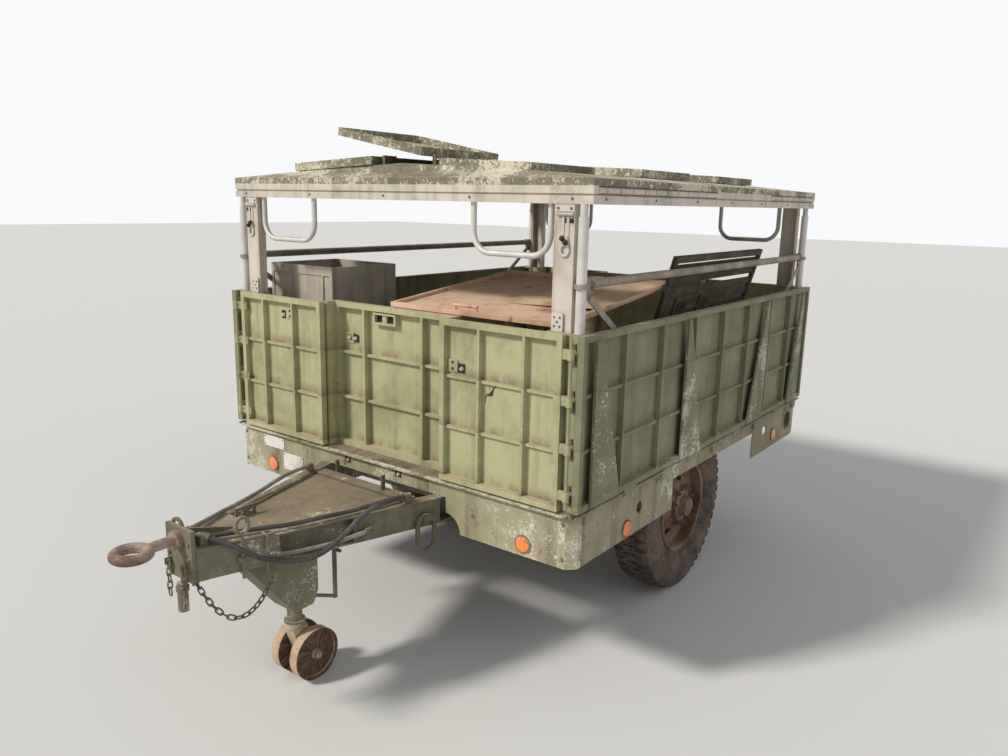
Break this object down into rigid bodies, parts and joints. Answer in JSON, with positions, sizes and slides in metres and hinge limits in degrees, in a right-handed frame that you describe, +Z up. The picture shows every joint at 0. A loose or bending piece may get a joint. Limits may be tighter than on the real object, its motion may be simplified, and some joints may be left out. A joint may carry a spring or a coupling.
{
  "type": "field kitchen trailer",
  "caption": "Two-wheeled field kitchen trailer with corner doors, fold-down side platforms, a raised flat roof with hatches and a drawbar on a caster leg.",
  "frame": {"origin": "centre of the whole trailer's footprint, on the ground", "axes": "+X forward to the towing eye, +Y to the trailer's left, +Z up"},
  "size_m": [4.418, 2.424, 2.6312],
  "materials": {
    "body_green": "flat weathered paint",
    "frame_green": "flat weathered paint",
    "sheet_tan": "flat faded paint",
    "roof_aluminium": "dull",
    "rusty_steel": "rusted",
    "tyre_rubber": "worn",
    "floor_ply": "dirty",
    "hose_rubber": "dull",
    "reflector_lens": "faceted"
  },
  "bodies": {
    "trailer": {"main_rails": "frame_green", "crossmembers": "frame_green", "floor_beams": "frame_green", "leg_bracket": "frame_green", "drawbar_nose": "frame_green", "lunette": "rusty_steel", "axle_beam": "rusty_steel", "leaf_springs": "rusty_steel", "floor_deck": "floor_ply", "wheel_wells": "sheet_tan", "end_skirts": "body_green", "side_skirts": "body_green", "centre_panels": "body_green", "corner_posts": "body_green", "post_tubes": "sheet_tan", "guard_rails": "sheet_tan", "cabinet": "sheet_tan", "work_table": "rusty_steel", "leaning_panel": "sheet_tan", "slatted_grate": "rusty_steel", "safety_chains": "rusty_steel", "drawbar_rings": "frame_green", "drawbar_fittings": "frame_green", "hose_couplings": "frame_green", "reflectors": "reflector_lens", "hose_black": "hose_rubber", "hose_grey": "hose_rubber", "hose_pale": "hose_rubber", "hose_far": "hose_rubber"},
    "wheel_left": {"tyre_left": "tyre_rubber", "wheel_left": "rusty_steel", "hub_left": "rusty_steel"},
    "wheel_right": {"tyre_right": "tyre_rubber", "wheel_right": "rusty_steel", "hub_right": "rusty_steel"},
    "landing_leg": {"landing_leg": "frame_green"},
    "caster_fork": {"caster_fork": "frame_green"},
    "caster_wheels": {"caster_wheels": "rusty_steel"},
    "door_front_left": {"door_front_left": "body_green"},
    "door_front_right": {"door_front_right": "body_green"},
    "door_rear_left": {"door_rear_left": "body_green"},
    "door_rear_right": {"door_rear_right": "body_green"},
    "platform_left": {"platform_left": "body_green"},
    "platform_right": {"platform_right": "body_green"},
    "roof": {"roof_rails": "sheet_tan", "roof_skin": "roof_aluminium", "roof_posts": "sheet_tan", "lift_rods": "sheet_tan", "roof_loops": "sheet_tan", "hatch_front_right": "roof_aluminium"},
    "hatch_front_left": {"hatch_front_left": "roof_aluminium"},
    "hatch_middle_left": {"hatch_middle_left": "roof_aluminium"},
    "hatch_middle_right": {"hatch_middle_right": "roof_aluminium"},
    "hatch_rear_left": {"hatch_rear_left": "roof_aluminium"},
    "hatch_rear_right": {"hatch_rear_right": "roof_aluminium"}
  },
  "joints": [
    {"name": "wheel_left_spin", "type": "hinge", "parent": "trailer", "child": "wheel_left", "pos_m": [-0.744, 0.91, 0.505], "axis": [0, 1, 0], "continuous": true},
    {"name": "wheel_right_spin", "type": "hinge", "parent": "trailer", "child": "wheel_right", "pos_m": [-0.744, -0.91, 0.505], "axis": [0, 1, 0], "continuous": true},
    {"name": "leg_fold", "type": "hinge", "parent": "trailer", "child": "landing_leg", "pos_m": [1.361, 0, 0.42], "axis": [0, 1, 0], "range_deg": [0, 75]},
    {"name": "caster_swivel", "type": "hinge", "parent": "landing_leg", "child": "caster_fork", "pos_m": [1.361, 0, 0.35], "axis": [0, 0, 1], "continuous": true},
    {"name": "caster_spin", "type": "hinge", "parent": "caster_fork", "child": "caster_wheels", "pos_m": [1.306, 0, 0.127], "axis": [0, 1, 0], "continuous": true},
    {"name": "door_front_left_swing", "type": "hinge", "parent": "trailer", "child": "door_front_left", "pos_m": [0.806, 1.145, 1.3], "axis": [0, 0, 1], "range_deg": [0, 110]},
    {"name": "door_front_right_swing", "type": "hinge", "parent": "trailer", "child": "door_front_right", "pos_m": [0.806, -1.145, 1.3], "axis": [0, 0, -1], "range_deg": [0, 110]},
    {"name": "door_rear_left_swing", "type": "hinge", "parent": "trailer", "child": "door_rear_left", "pos_m": [-2.194, 1.145, 1.3], "axis": [0, 0, -1], "range_deg": [0, 110]},
    {"name": "door_rear_right_swing", "type": "hinge", "parent": "trailer", "child": "door_rear_right", "pos_m": [-2.194, -1.145, 1.3], "axis": [0, 0, 1], "range_deg": [0, 110]},
    {"name": "platform_left_fold", "type": "hinge", "parent": "trailer", "child": "platform_left", "pos_m": [-0.694, 1.19, 0.94], "axis": [-1, 0, 0], "range_deg": [0, 90]},
    {"name": "platform_right_fold", "type": "hinge", "parent": "trailer", "child": "platform_right", "pos_m": [-0.694, -1.19, 0.94], "axis": [1, 0, 0], "range_deg": [0, 90]},
    {"name": "roof_raise", "type": "slide", "parent": "trailer", "child": "roof", "axis": [0, 0, 1], "range_m": [0, 0.62]},
    {"name": "hatch_front_left_swing", "type": "hinge", "parent": "roof", "child": "hatch_front_left", "pos_m": [0.326, 0.1718, 2.47778], "axis": [-1, 0, 0], "range_deg": [0, 172]},
    {"name": "hatch_middle_left_swing", "type": "hinge", "parent": "roof", "child": "hatch_middle_left", "pos_m": [-0.674, 0.1718, 2.47778], "axis": [1, 0, 0], "range_deg": [0, 100]},
    {"name": "hatch_middle_right_swing", "type": "hinge", "parent": "roof", "child": "hatch_middle_right", "pos_m": [-0.674, -0.1718, 2.47778], "axis": [-1, 0, 0], "range_deg": [0, 100]},
    {"name": "hatch_rear_left_swing", "type": "hinge", "parent": "roof", "child": "hatch_rear_left", "pos_m": [-1.674, 0.1718, 2.47778], "axis": [1, 0, 0], "range_deg": [0, 100]},
    {"name": "hatch_rear_right_swing", "type": "hinge", "parent": "roof", "child": "hatch_rear_right", "pos_m": [-1.674, -0.1718, 2.47778], "axis": [-1, 0, 0], "range_deg": [0, 100]}
  ]
}
